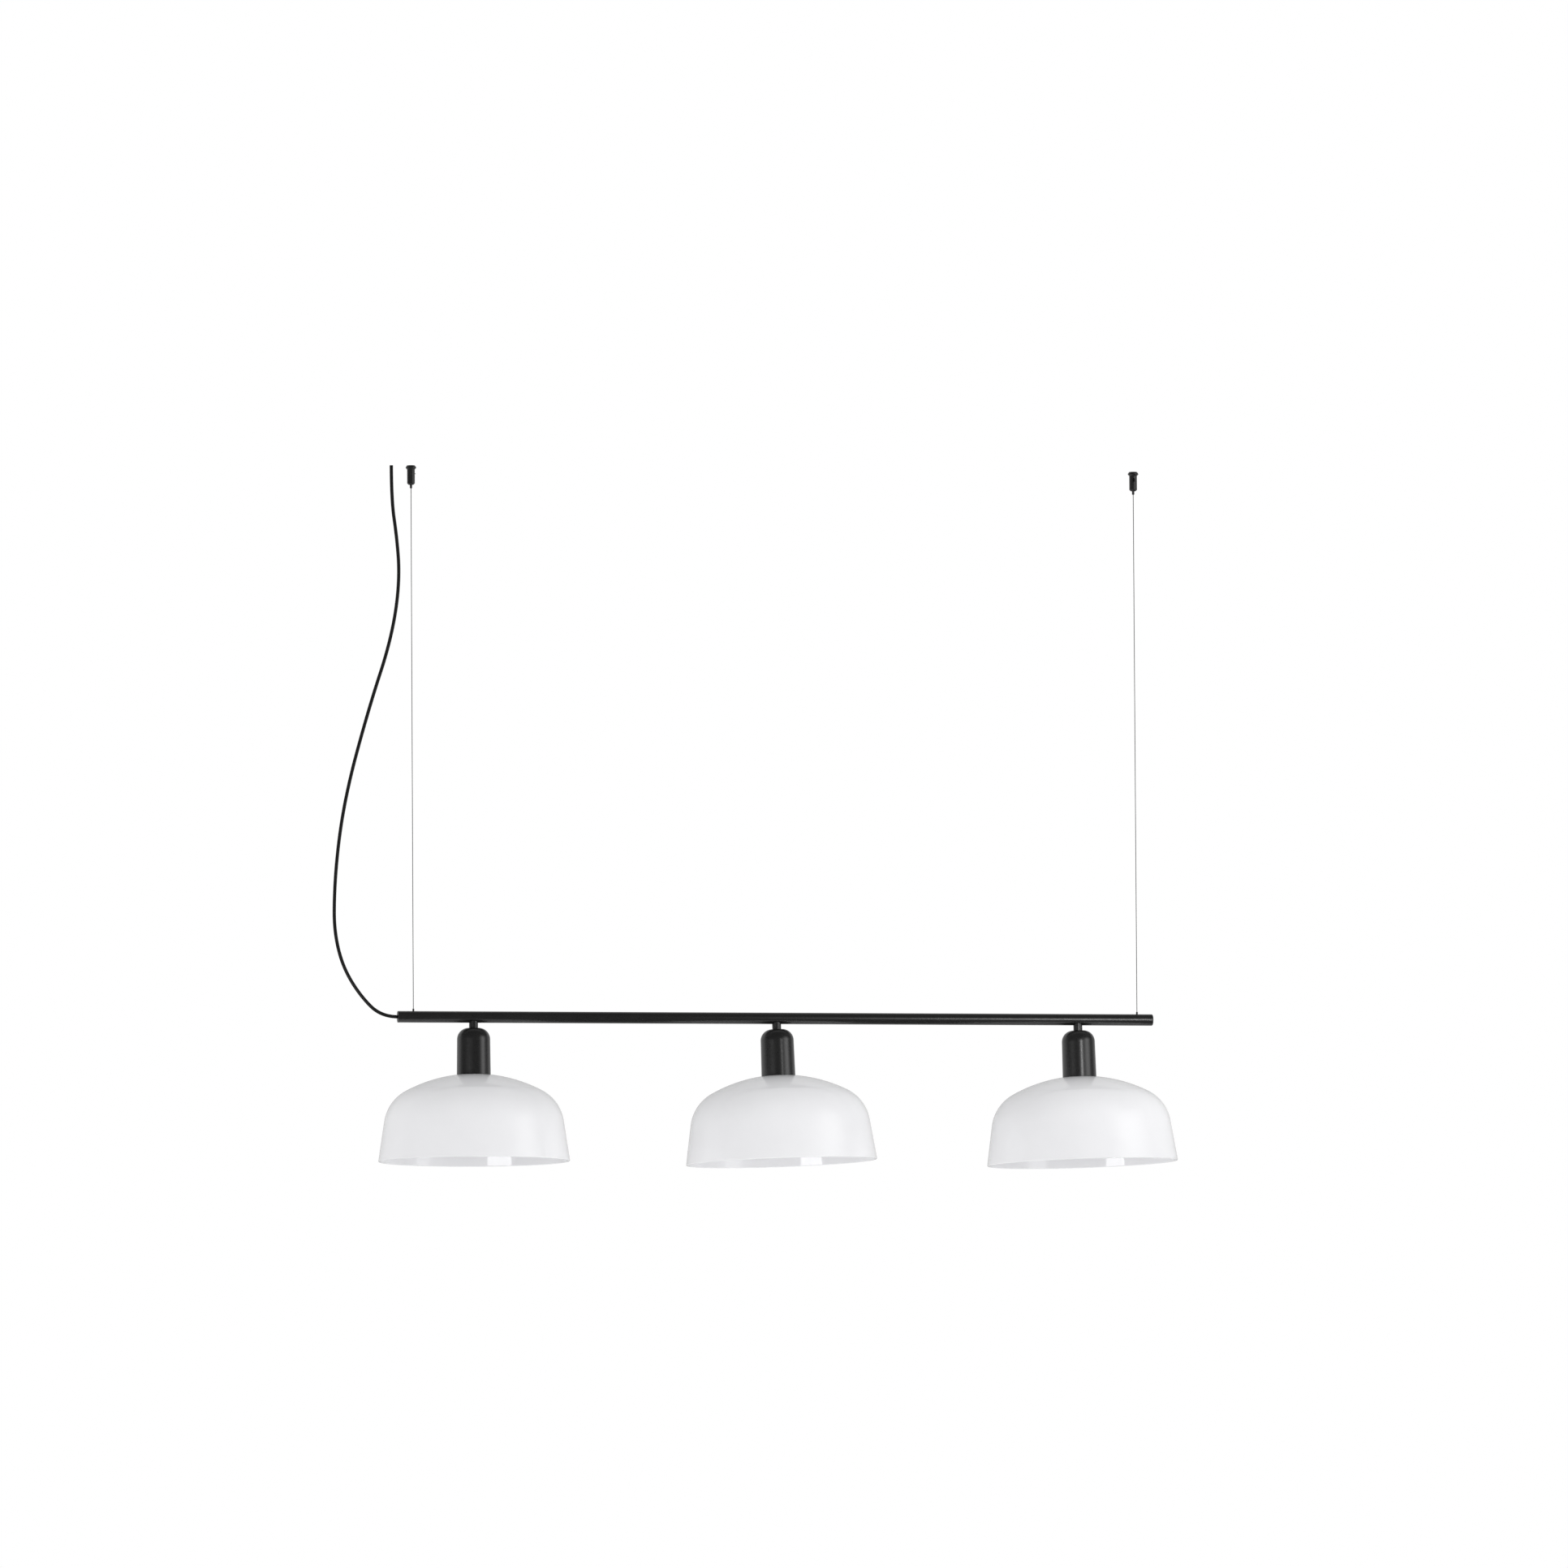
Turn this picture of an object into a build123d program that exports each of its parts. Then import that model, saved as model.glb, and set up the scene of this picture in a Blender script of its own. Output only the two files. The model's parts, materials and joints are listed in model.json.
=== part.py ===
"""A linear pendant light: a round bar on two suspension wires carries three opal glass heads.

Millimetres. The origin is on the ceiling, midway between the two ceiling fixings. +X runs along the bar
and +Z points up. The power cable leaves the bar's left end and rises to the ceiling.
"""

import os
from math import acos, cos, degrees, pi, radians, sin, sqrt, tan

from build123d import *

# The whole light
bar_length = 1200.0  # over both end caps
bar_drop = 865.0  # from the ceiling down to the bar's axis
wire_inset = 25.0  # from the bar's end to a wire
head_inset = 120.0  # from the bar's end to an outer head
sides = {"left": -1, "right": 1}
heads = {"left": -1, "middle": 0, "right": 1}
head_leans = {"left": 0.0, "middle": 1.8, "right": 1.6}  # degrees, the lower end towards +X

# Gaps
slip_gap = 0.1  # between pieces that are put together by hand
moving_gap = 0.35  # between pieces that move past one another

# Bar
bar_diameter = 18.0
bar_wall = 1.2
cap_length = 2.2  # the part of an end cap that shows
cap_edge_radius = 2.0
plug_edge_radius = 0.5
cap_spigot_length = 10.0

# Suspension wires and their ends on the bar
wire_diameter = 1.2
bush_neck_diameter = 2.9
bush_neck_height = 3.6  # above the bar
bush_flange_diameter = 5.6
bush_flange_height = 1.2
stop_diameter = 3.6
stop_height = 2.6

# Ceiling fixings
screw_hole_diameter = 4.5
screw_head_diameter = 7.0
screw_head_height = 4.0
base_face_diameter = 12.6
base_flange_diameter = 16.6
base_upper_bevel = 2.8
base_edge_height = 1.2
base_height = 6.4
base_thread_diameter = 9.4
base_thread_length = 3.0
sleeve_diameter = 12.2
sleeve_length = 24.0
sleeve_end_taper = 2.2
sleeve_chamber_diameter = 8.0
port_width = 3.6
port_height = 6.0
port_land = 0.6  # wall left above and below the port
port_angles = {"left": 0.0, "right": -90.0}  # degrees about Z, from +X
tail_bend_radius = 3.6
tail_reach = 1.2  # past the sleeve
spring_seat_height = 1.0
spring_seat_hole = 3.0
spring_outer_diameter = 6.0
spring_wall = 0.6
spring_length = 5.0
collet_diameter = 7.0
collet_rim_height = 1.0
collet_cone_height = 5.0
collet_slits = 3
collet_slit_width = 0.6
collet_slit_depth = 3.6
plunger_diameter = 3.8
plunger_reach = 5.6  # below the sleeve
plunger_tip_bevel = 0.8
tail_overhang = 0.1  # of the gripped wire below the plunger

# Head: spacer, nipple and nuts
spacer_diameter = 14.0
spacer_length = 8.0  # that shows between bar and cup
nipple_diameter = 10.0
nipple_bore = 7.0
nipple_proud = 0.5  # above the saddle nut
saddle_nut_length = 14.0
saddle_nut_top = -2.6  # from the bar's axis
lock_nut_width = 14.0  # across flats
lock_nut_height = 4.0

# Head: cup
cup_height = 73.0
cup_mouth_diameter = 53.0
cup_top_diameter = 51.4  # of the side wall, carried up to the top
cup_shoulder_radius = 17.8
cup_wall = 1.2

# Head: screw lampholder for a 27 mm Edison bulb
holder_diameter = 39.2
holder_wall = 2.0
holder_neck_diameter = 14.5
holder_neck_height = 7.0
holder_cone_height = 10.0
holder_rim_height = 4.0
holder_rim_wall = 3.0
holder_ledge = 1.4
holder_mouth_lip = 3.0
holder_below_ring = 2.0  # that shows under the clamp ring
insert_height = 13.0
shell_bore = 27.0
shell_wall = 0.5
shell_length = 23.0
shell_window = 18.0
contact_width = 5.0
contact_thickness = 0.4
contact_base = 4.0
contact_slope = 3.0
contact_drop = 2.6
contact_tip = 2.5

# Head: glass shade and the ring that clamps it to the cup
shade_diameter = 300.0  # at the rim
shade_depth = 136.0  # below the cup
shade_wall = 3.2
shade_hole_diameter = 41.0
shade_crown_radius = 227.0
shade_shoulder_radius = 65.0
shade_flare = 8.6  # degrees of the side wall from upright
shade_rim_radius = 1.3
ring_flange_diameter = 56.0
ring_flange_height = 2.0
ring_collar_diameter = 46.0
ring_height = 6.5
ring_groove_count = 24  # finger grips round the collar
ring_groove_radius = 1.3

# Head: bulb
bulb_contact_diameter = 9.0
bulb_contact_height = 1.2
bulb_insulator_diameter = 22.0
bulb_insulator_height = 2.8
bulb_thread_diameter = 26.2
bulb_cap_length = 26.0
bulb_neck_diameter = 25.6
bulb_flare_radius = 40.0
bulb_globe_diameter = 60.0
bulb_wall = 1.0

# Wiring
cable_diameter = 5.4
cable_inner_length = 20.0  # of the sheath inside the bar
crimp_diameter = 9.0
crimp_length = 6.0
core_diameter = 1.8
core_offset = 1.5  # either side of the bar's axis
lead_lane_pitch = 2.2
lead_bend_radius = 3.0
splice_width = 2.6
splice_length = 12.0
splice_start = 12.0  # from the end of the sheath

# The cable's route through the air, from the bar's end up to the ceiling
cable_points = [
    (-600.0, 0.0, -865.0),
    (-626.0, 0.0, -865.0),
    (-659.5, 2.0, -831.0),
    (-686.0, 5.0, -785.5),
    (-698.3, 8.0, -730.5),
    (-697.5, 10.0, -671.0),
    (-692.6, 11.0, -610.0),
    (-684.1, 11.0, -549.0),
    (-671.1, 10.0, -487.5),
    (-654.8, 8.0, -426.5),
    (-635.0, 5.0, -358.5),
    (-613.2, 2.0, -292.0),
    (-599.4, -1.0, -229.0),
    (-594.2, -3.0, -168.0),
    (-598.6, -3.0, -110.5),
    (-606.0, 0.0, -55.5),
    (-606.0, 0.0, 0.0),
]
cable_arc_share = 0.45  # of the shorter run beside a corner

# Levels of a ceiling fixing, down from the ceiling
base_bottom = -base_height
thread_bottom = base_bottom - base_thread_length
sleeve_bottom = base_bottom - sleeve_length
port_middle = thread_bottom - port_land - port_height / 2
spring_seat_top = port_middle - port_height / 2 - port_land
spring_seat_bottom = spring_seat_top - spring_seat_height
collet_top = spring_seat_bottom - spring_length
collet_cone_top = collet_top - collet_rim_height
collet_cone_bottom = collet_cone_top - collet_cone_height
plunger_tip = sleeve_bottom - plunger_reach
tail_bottom = plunger_tip - tail_overhang
wire_top = tail_bottom - moving_gap

# Levels of a wire's end, up from the bar's axis
bar_radius = bar_diameter / 2
bar_bore_radius = bar_radius - bar_wall
bush_flange_top = sqrt(bar_bore_radius**2 - (bush_flange_diameter / 2) ** 2) - slip_gap
stop_top = bush_flange_top - bush_flange_height
wire_hole_radius = wire_diameter / 2 + moving_gap

# Levels of a head, along its own axis from the bar's axis
nipple_top = saddle_nut_top + nipple_proud
cup_top = -bar_radius - spacer_length
cup_bottom = cup_top - cup_height
cup_inner_top = cup_top - cup_wall
cup_mouth_bore_radius = cup_mouth_diameter / 2 - cup_wall
crown_seat_drop = shade_crown_radius - sqrt(shade_crown_radius**2 - cup_mouth_bore_radius**2)
crown_top = cup_bottom - slip_gap + crown_seat_drop
crown_centre = crown_top - shade_crown_radius
shade_rim = cup_bottom - shade_depth
glass_radius_inside = shade_crown_radius - shade_wall
ring_seat_radius = ring_flange_diameter / 2
ring_top = crown_centre + sqrt(glass_radius_inside**2 - ring_seat_radius**2) - slip_gap
ring_bottom = ring_top - ring_height
holder_mouth = ring_bottom - holder_below_ring
holder_radius = holder_diameter / 2
shell_top = holder_mouth + shell_length
insert_top = shell_top + insert_height
holder_cone_bottom = insert_top + holder_rim_height
holder_neck_bottom = holder_cone_bottom + holder_cone_height
holder_top = holder_neck_bottom + holder_neck_height
nipple_bottom = holder_neck_bottom
bulb_top = shell_top - contact_thickness - contact_drop - slip_gap
bulb_cap_bottom = bulb_top - bulb_cap_length

# Places along the bar
wire_spacing = bar_length - 2 * wire_inset
head_spacing = bar_length / 2 - head_inset
tube_end = bar_length / 2 - cap_length
spigot_end = tube_end - cap_spigot_length
sheath_end = bar_length / 2 - cable_inner_length
splice_left = sheath_end - splice_start
splice_right = splice_left - splice_length
cable_radius = cable_diameter / 2


def save(piece, name):
    """Label a finished piece and write it."""
    piece.part.label = name
    export_step(piece.part, f"parts/{name}.step")


def fixing_frame(side):
    """Frame of a ceiling fixing: origin on the ceiling, Z up."""
    return Plane(origin=(sides[side] * wire_spacing / 2, 0, 0))


def wire_end_frame(side):
    """Frame where a wire meets the bar: origin on the bar's axis, Z up."""
    return fixing_frame(side).offset(-bar_drop)


def head_frame(head):
    """Frame of a head: origin on the bar's axis, Z up along the head, which leans about Y."""
    lean = radians(head_leans[head])
    return Plane(
        origin=(heads[head] * head_spacing, 0, -bar_drop),
        x_dir=(cos(lean), 0, sin(lean)),
        z_dir=(-sin(lean), 0, cos(lean)),
    )


def bar_frame(x):
    """Frame across the bar at x: sketch X is the light's Y, sketch Y is up, Z along the bar."""
    return Plane(origin=(x, 0, -bar_drop), x_dir=(0, 1, 0), z_dir=(1, 0, 0))


def section_of(frame):
    """Plane through a frame's Z axis: sketch X outwards, sketch Y along that axis."""
    return Plane(origin=frame.origin, x_dir=frame.x_dir, z_dir=frame.y_dir * -1)


def axis_of(frame):
    return Axis(frame.origin, frame.z_dir)


def turn(frame, outline):
    """Revolve a closed outline of (radius, height) corners about a frame's Z axis, in the open part."""
    with BuildSketch(section_of(frame)) as profile:
        with BuildLine():
            Polyline(*outline, close=True)
        make_face()
    revolve(profile.sketch, axis=axis_of(frame))


def box_outline(inner_radius, outer_radius, bottom, top):
    """Outline of a plain ring or disc."""
    return [(inner_radius, bottom), (outer_radius, bottom), (outer_radius, top), (inner_radius, top)]


# Ceiling fixings


def make_ceiling_base(side):
    """Bevelled base: a ceiling screw goes up through it and its head sits in the threaded boss."""
    well_top = thread_bottom + screw_head_height
    outline = [
        (screw_hole_diameter / 2, 0),
        (base_face_diameter / 2, 0),
        (base_flange_diameter / 2, -base_upper_bevel),
        (base_flange_diameter / 2, -base_upper_bevel - base_edge_height),
        (sleeve_diameter / 2, base_bottom),
        (base_thread_diameter / 2, base_bottom),
        (base_thread_diameter / 2, thread_bottom),
        (screw_head_diameter / 2, thread_bottom),
        (screw_head_diameter / 2, well_top),
        (screw_hole_diameter / 2, well_top),
    ]
    with BuildPart() as ceiling_base:
        turn(fixing_frame(side), outline)
    save(ceiling_base, f"ceiling_base_{side}")


def port_frame(side):
    """Frame of the sleeve's side port: Z points out of the sleeve, sketch Y is up."""
    angle = radians(port_angles[side])
    return Plane(
        origin=fixing_frame(side).origin + Vector(0, 0, port_middle),
        x_dir=(-sin(angle), cos(angle), 0),
        z_dir=(cos(angle), sin(angle), 0),
    )


def make_grip_sleeve(side):
    """Sleeve with the tapered seat that closes the collet on the wire, and the port for the wire's tail."""
    thread_radius = base_thread_diameter / 2 + slip_gap
    guide_radius = plunger_diameter / 2 + moving_gap
    outline = [
        (thread_radius, base_bottom),
        (sleeve_diameter / 2, base_bottom),
        (sleeve_diameter / 2, sleeve_bottom + sleeve_end_taper),
        (sleeve_diameter / 2 - sleeve_end_taper, sleeve_bottom),
        (guide_radius, sleeve_bottom),
        (guide_radius, collet_cone_bottom),
        (collet_diameter / 2 + moving_gap, collet_cone_top),
        (sleeve_chamber_diameter / 2, collet_cone_top),
        (sleeve_chamber_diameter / 2, thread_bottom),
        (thread_radius, thread_bottom),
    ]
    with BuildPart() as grip_sleeve:
        turn(fixing_frame(side), outline)
        with BuildSketch(port_frame(side)):
            SlotOverall(port_height, port_width, rotation=90)
        extrude(amount=sleeve_diameter, mode=Mode.SUBTRACT)
    save(grip_sleeve, f"grip_sleeve_{side}")


def make_spring_seat(side):
    """Ring pressed into the sleeve above the spring."""
    seat_radius = sleeve_chamber_diameter / 2 - slip_gap
    with BuildPart() as spring_seat:
        turn(
            fixing_frame(side),
            box_outline(spring_seat_hole / 2, seat_radius, spring_seat_bottom, spring_seat_top),
        )
    save(spring_seat, f"spring_seat_{side}")


def make_grip_spring(side):
    """Coil spring between seat and collet, closed in, as a plain sleeve of its size."""
    spring_radius = spring_outer_diameter / 2
    with BuildPart() as grip_spring:
        turn(
            fixing_frame(side),
            box_outline(spring_radius - spring_wall, spring_radius, collet_top, spring_seat_bottom),
        )
    save(grip_spring, f"grip_spring_{side}")


def make_grip_plunger(side):
    """Plunger that is pushed up to free the wire: a nipple below, a split collet above."""
    plunger_radius = plunger_diameter / 2
    collet_radius = collet_diameter / 2
    outline = [
        (wire_hole_radius, plunger_tip),
        (plunger_radius - plunger_tip_bevel, plunger_tip),
        (plunger_radius, plunger_tip + plunger_tip_bevel),
        (plunger_radius, collet_cone_bottom),
        (collet_radius, collet_cone_top),
        (collet_radius, collet_top),
        (wire_hole_radius, collet_top),
    ]
    frame = fixing_frame(side)
    with BuildPart() as grip_plunger:
        turn(frame, outline)
        with BuildSketch(frame.offset(collet_top)):
            with PolarLocations(0, collet_slits):
                Rectangle(collet_diameter, collet_slit_width, align=(Align.MIN, Align.CENTER))
        extrude(amount=-collet_slit_depth, mode=Mode.SUBTRACT)
    save(grip_plunger, f"grip_plunger_{side}")


def make_wire_tail(side):
    """Gripped end of the wire, up through the plunger and out of the port."""
    foot = fixing_frame(side).origin + Vector(0, 0, tail_bottom)
    port = port_frame(side)
    end = port.origin + port.z_dir * (sleeve_diameter / 2 + tail_reach)
    with BuildPart() as wire_tail:
        with BuildLine():
            route = FilletPolyline(foot, port.origin, end, radius=tail_bend_radius)
        with BuildSketch(fixing_frame(side).offset(tail_bottom)):
            Circle(wire_diameter / 2)
        sweep(path=route)
    save(wire_tail, f"wire_tail_{side}")


# Suspension


def make_suspension_wire(side):
    """Free wire from just under the plunger down to its stop inside the bar."""
    with BuildPart() as suspension_wire:
        with BuildSketch(fixing_frame(side).offset(wire_top)):
            Circle(wire_diameter / 2)
        extrude(amount=-(bar_drop + wire_top - stop_top))
    save(suspension_wire, f"suspension_wire_{side}")


def cable_radii(points):
    """Radius at each corner: as large as the shorter of its two runs allows."""
    vectors = [Vector(*point) for point in points]
    radii = []
    for before, corner, after in zip(vectors, vectors[1:], vectors[2:]):
        run_in, run_out = corner - before, after - corner
        half_turn = radians(run_in.get_angle(run_out)) / 2
        radii.append(cable_arc_share * min(run_in.length, run_out.length) / tan(half_turn))
    return radii


def make_power_cable():
    """Free cable, from the end plug's face up to the ceiling, where it is cut square."""
    radii = cable_radii(cable_points)
    with BuildPart() as power_cable:
        with BuildLine():
            route = FilletPolyline(*cable_points, radius=radii)
        with BuildSketch(Plane(origin=route @ 0, z_dir=route % 0)):
            Circle(cable_radius)
        sweep(path=route)
    tube_volume = route.length * pi * cable_radius**2
    print("cable radii", [round(radius) for radius in radii])
    print("cable length", round(route.length, 1))
    print("cable volume, as a share of section times length", round(power_cable.part.volume / tube_volume, 4))
    save(power_cable, "power_cable")


# Bar


def make_bar_tube():
    """Tube with a hole on top for each wire bush and one below for each head's nipple."""
    with BuildPart() as bar_tube:
        with BuildSketch(bar_frame(-tube_end)):
            Circle(bar_radius)
            Circle(bar_bore_radius, mode=Mode.SUBTRACT)
        extrude(amount=2 * tube_end)
        for side in sides:
            with BuildSketch(wire_end_frame(side)):
                Circle(bush_neck_diameter / 2 + slip_gap)
            extrude(amount=bar_diameter, mode=Mode.SUBTRACT)
        for head in heads:
            with BuildSketch(head_frame(head)):
                Circle(nipple_diameter / 2 + slip_gap)
            extrude(amount=-bar_diameter, mode=Mode.SUBTRACT)
    save(bar_tube, "bar_tube")


def make_bar_end(side, name, edge_radius, bore_radius):
    """Turned end of the bar, its edge rounded, with a spigot that is pushed into the tube."""
    out = sides[side]
    face = bar_frame(out * bar_length / 2)
    with BuildPart() as bar_end:
        with BuildSketch(face):
            Circle(bar_radius)
        extrude(amount=-out * cap_length)
        outer_edge = bar_end.edges().filter_by(GeomType.CIRCLE).sort_by(Axis.X)[0 if out < 0 else -1]
        fillet(outer_edge, edge_radius)
        with BuildSketch(face.offset(-out * cap_length)):
            Circle(bar_bore_radius - slip_gap)
        extrude(amount=-out * cap_spigot_length)
        if bore_radius:
            with BuildSketch(face):
                Circle(bore_radius)
            extrude(amount=-out * (cap_length + cap_spigot_length), mode=Mode.SUBTRACT)
    save(bar_end, name)


def make_wire_bushes():
    """Flanged bushes that stand through the bar's top and guide the wires."""
    bush_top = bar_radius + bush_neck_height
    outline = [
        (wire_hole_radius, stop_top),
        (bush_flange_diameter / 2, stop_top),
        (bush_flange_diameter / 2, bush_flange_top),
        (bush_neck_diameter / 2, bush_flange_top),
        (bush_neck_diameter / 2, bush_top),
        (wire_hole_radius, bush_top),
    ]
    with BuildPart() as wire_bushes:
        for side in sides:
            turn(wire_end_frame(side), outline)
    save(wire_bushes, "wire_bushes")


def make_wire_stops():
    """Stops on the wires' lower ends, which pull up against the bushes."""
    with BuildPart() as wire_stops:
        for side in sides:
            with BuildSketch(wire_end_frame(side).offset(stop_top)):
                Circle(stop_diameter / 2)
            extrude(amount=-stop_height)
    save(wire_stops, "wire_stops")


def make_cable_crimp():
    """Ring crimped on the sheath behind the end plug, so that the cable can't pull out."""
    with BuildPart() as cable_crimp:
        with BuildSketch(bar_frame(-spigot_end)):
            Circle(crimp_diameter / 2)
            Circle(cable_radius, mode=Mode.SUBTRACT)
        extrude(amount=crimp_length)
    save(cable_crimp, "cable_crimp")


def make_cable_inner_end():
    """Cable inside the bar: the end of its sheath, and two cores as far as the splices."""
    with BuildPart() as cable_inner_end:
        with BuildSketch(bar_frame(-bar_length / 2)):
            Circle(cable_radius)
        extrude(amount=cable_inner_length)
        with BuildSketch(bar_frame(-sheath_end)):
            with Locations((-core_offset, 0), (core_offset, 0)):
                Circle(core_diameter / 2)
        extrude(amount=splice_start)
    save(cable_inner_end, "cable_inner_end")


def lead_lane(head):
    """Height of a head's leads above the bar's axis: those of the far heads pass over the near ones."""
    return (heads[head] + 1) * lead_lane_pitch


def make_lead_splices():
    """Two insulated splices, each joining one core to a lead from every head."""
    lane_top = lead_lane("right")
    with BuildPart() as lead_splices:
        with BuildSketch(bar_frame(-splice_left)):
            with Locations((-core_offset, lane_top / 2), (core_offset, lane_top / 2)):
                SlotOverall(lane_top + splice_width, splice_width, rotation=90)
        extrude(amount=splice_length)
    save(lead_splices, "lead_splices")


def make_lamp_leads(head):
    """Two leads, from the splices along the bar and down the nipple to the lampholder."""
    frame = head_frame(head)
    with BuildPart() as lamp_leads:
        for y in (-core_offset, core_offset):
            bend = frame.from_local_coords((0, y, lead_lane(head)))
            start = Vector(-splice_right, y, bend.Z)
            end = frame.from_local_coords((0, y, insert_top))
            with BuildLine():
                route = FilletPolyline(start, bend, end, radius=lead_bend_radius)
            with BuildSketch(Plane(origin=start, z_dir=(1, 0, 0))):
                Circle(core_diameter / 2)
            sweep(path=route)
    save(lamp_leads, f"lamp_leads_{head}")


def make_saddle_nuts():
    """Half-round nuts that lie in the tube's bore and hold the nipples."""
    with BuildPart() as saddle_nuts:
        for head in heads:
            middle = bar_frame(heads[head] * head_spacing)
            with BuildSketch(middle):
                Circle(bar_bore_radius - slip_gap)
                with Locations((0, saddle_nut_top)):
                    Rectangle(
                        bar_diameter,
                        bar_diameter,
                        align=(Align.CENTER, Align.MIN),
                        mode=Mode.SUBTRACT,
                    )
            extrude(amount=saddle_nut_length / 2, both=True)
            with BuildSketch(head_frame(head)):
                Circle(nipple_diameter / 2 + slip_gap)
            extrude(amount=-bar_diameter, mode=Mode.SUBTRACT)
    save(saddle_nuts, "saddle_nuts")


# Heads


def make_spacer(head):
    """Short tube between bar and cup, its top cut to lie against the round bar."""
    frame = head_frame(head)
    with BuildPart() as spacer:
        with BuildSketch(frame.offset(cup_top)):
            Circle(spacer_diameter / 2)
            Circle(nipple_diameter / 2 + slip_gap, mode=Mode.SUBTRACT)
        extrude(amount=-cup_top)
        with BuildSketch(bar_frame(heads[head] * head_spacing)):
            Circle(bar_radius + slip_gap)
        extrude(amount=spacer_diameter, both=True, mode=Mode.SUBTRACT)
    save(spacer, f"spacer_{head}")


def make_nipples():
    """Hollow threaded nipples, from the saddle nuts down into the lampholders."""
    with BuildPart() as nipples:
        for head in heads:
            turn(
                head_frame(head),
                box_outline(nipple_bore / 2, nipple_diameter / 2, nipple_bottom, nipple_top),
            )
    save(nipples, "nipples")


def make_lock_nuts():
    """Hexagon nuts that draw the cups up against the spacers."""
    with BuildPart() as lock_nuts:
        for head in heads:
            with BuildSketch(head_frame(head).offset(cup_inner_top)):
                RegularPolygon(lock_nut_width / 2, 6, major_radius=False)
                Circle(nipple_diameter / 2 + slip_gap, mode=Mode.SUBTRACT)
            extrude(amount=-lock_nut_height)
    save(lock_nuts, "lock_nuts")


def cup_profile(inset):
    """Corners of the cup's side view, drawn in by a wall: top at the axis, shoulder, mouth."""
    slope = (cup_mouth_diameter - cup_top_diameter) / 2 / cup_height
    shoulder = (cup_top_diameter / 2 - inset + slope * inset, cup_top - inset)
    mouth = (cup_mouth_diameter / 2 - inset, cup_bottom)
    return [(0, cup_top - inset), shoulder, mouth, (0, cup_bottom)]


def make_cup(head):
    """Spun cup with a round shoulder, open below, with a hole for the nipple on top."""
    frame = head_frame(head)
    with BuildPart() as cup:
        for inset, mode in ((0, Mode.ADD), (cup_wall, Mode.SUBTRACT)):
            with BuildSketch(section_of(frame)) as side_view:
                with BuildLine():
                    Polyline(*cup_profile(inset), close=True)
                make_face()
                shoulder = side_view.vertices().group_by(Axis.Y)[-1].sort_by(Axis.X)[-1]
                fillet(shoulder, cup_shoulder_radius - inset)
            revolve(axis=axis_of(frame), mode=mode)
        with BuildSketch(frame):
            Circle(nipple_diameter / 2 + slip_gap)
        extrude(amount=cup_top - cup_shoulder_radius, mode=Mode.SUBTRACT)
    save(cup, f"cup_{head}")


def make_holder_cap(head):
    """Upper half of the lampholder, screwed on the nipple."""
    bore_radius = nipple_diameter / 2 + slip_gap
    rim_bore = holder_radius - holder_rim_wall
    outline = [
        (bore_radius, holder_top),
        (holder_neck_diameter / 2, holder_top),
        (holder_neck_diameter / 2, holder_neck_bottom),
        (holder_radius, holder_cone_bottom),
        (holder_radius, insert_top),
        (rim_bore, insert_top),
        (rim_bore, holder_cone_bottom),
        (bore_radius, holder_neck_bottom),
    ]
    with BuildPart() as holder_cap:
        turn(head_frame(head), outline)
    save(holder_cap, f"holder_cap_{head}")


def make_holder_skirt(head):
    """Lower half of the lampholder: a ledge carries the insert, and the clamp ring screws on outside."""
    bore_radius = holder_radius - holder_wall
    mouth_radius = shell_bore / 2 + shell_wall + moving_gap
    lip_top = holder_mouth + holder_mouth_lip
    outline = [
        (bore_radius, insert_top),
        (holder_radius, insert_top),
        (holder_radius, holder_mouth),
        (mouth_radius, holder_mouth),
        (mouth_radius, lip_top),
        (bore_radius - holder_ledge, lip_top),
        (bore_radius - holder_ledge, shell_top),
        (bore_radius, shell_top),
    ]
    with BuildPart() as holder_skirt:
        turn(head_frame(head), outline)
    save(holder_skirt, f"holder_skirt_{head}")


def make_holder_insert(head):
    """Ceramic insert that carries the screw shell and the centre contact."""
    with BuildPart() as holder_insert:
        with BuildSketch(head_frame(head).offset(shell_top)):
            Circle(holder_radius - holder_wall - slip_gap)
        extrude(amount=insert_height)
    save(holder_insert, f"holder_insert_{head}")


def make_screw_shell(head):
    """Thin metal shell that takes the bulb's screw cap, held by its flat top."""
    bore_radius = shell_bore / 2
    shell_bottom = holder_mouth + slip_gap
    outline = [
        (shell_window / 2, shell_top),
        (bore_radius + shell_wall, shell_top),
        (bore_radius + shell_wall, shell_bottom),
        (bore_radius, shell_bottom),
        (bore_radius, shell_top - shell_wall),
        (shell_window / 2, shell_top - shell_wall),
    ]
    with BuildPart() as screw_shell:
        turn(head_frame(head), outline)
    save(screw_shell, f"screw_shell_{head}")


def make_centre_contacts():
    """Spring tongues under the inserts, which press on the bulbs' end contacts."""
    slope_start = -contact_slope - contact_tip / 2
    tip_start = -contact_tip / 2
    tip_end = contact_tip / 2
    upper = [
        (slope_start - contact_base, shell_top),
        (slope_start, shell_top),
        (tip_start, shell_top - contact_drop),
        (tip_end, shell_top - contact_drop),
    ]
    lower = [(x, height - contact_thickness) for x, height in reversed(upper)]
    with BuildPart() as centre_contacts:
        for head in heads:
            with BuildSketch(section_of(head_frame(head))):
                with BuildLine():
                    Polyline(*upper, *lower, close=True)
                make_face()
            extrude(amount=contact_width / 2, both=True)
    save(centre_contacts, "centre_contacts")


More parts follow.
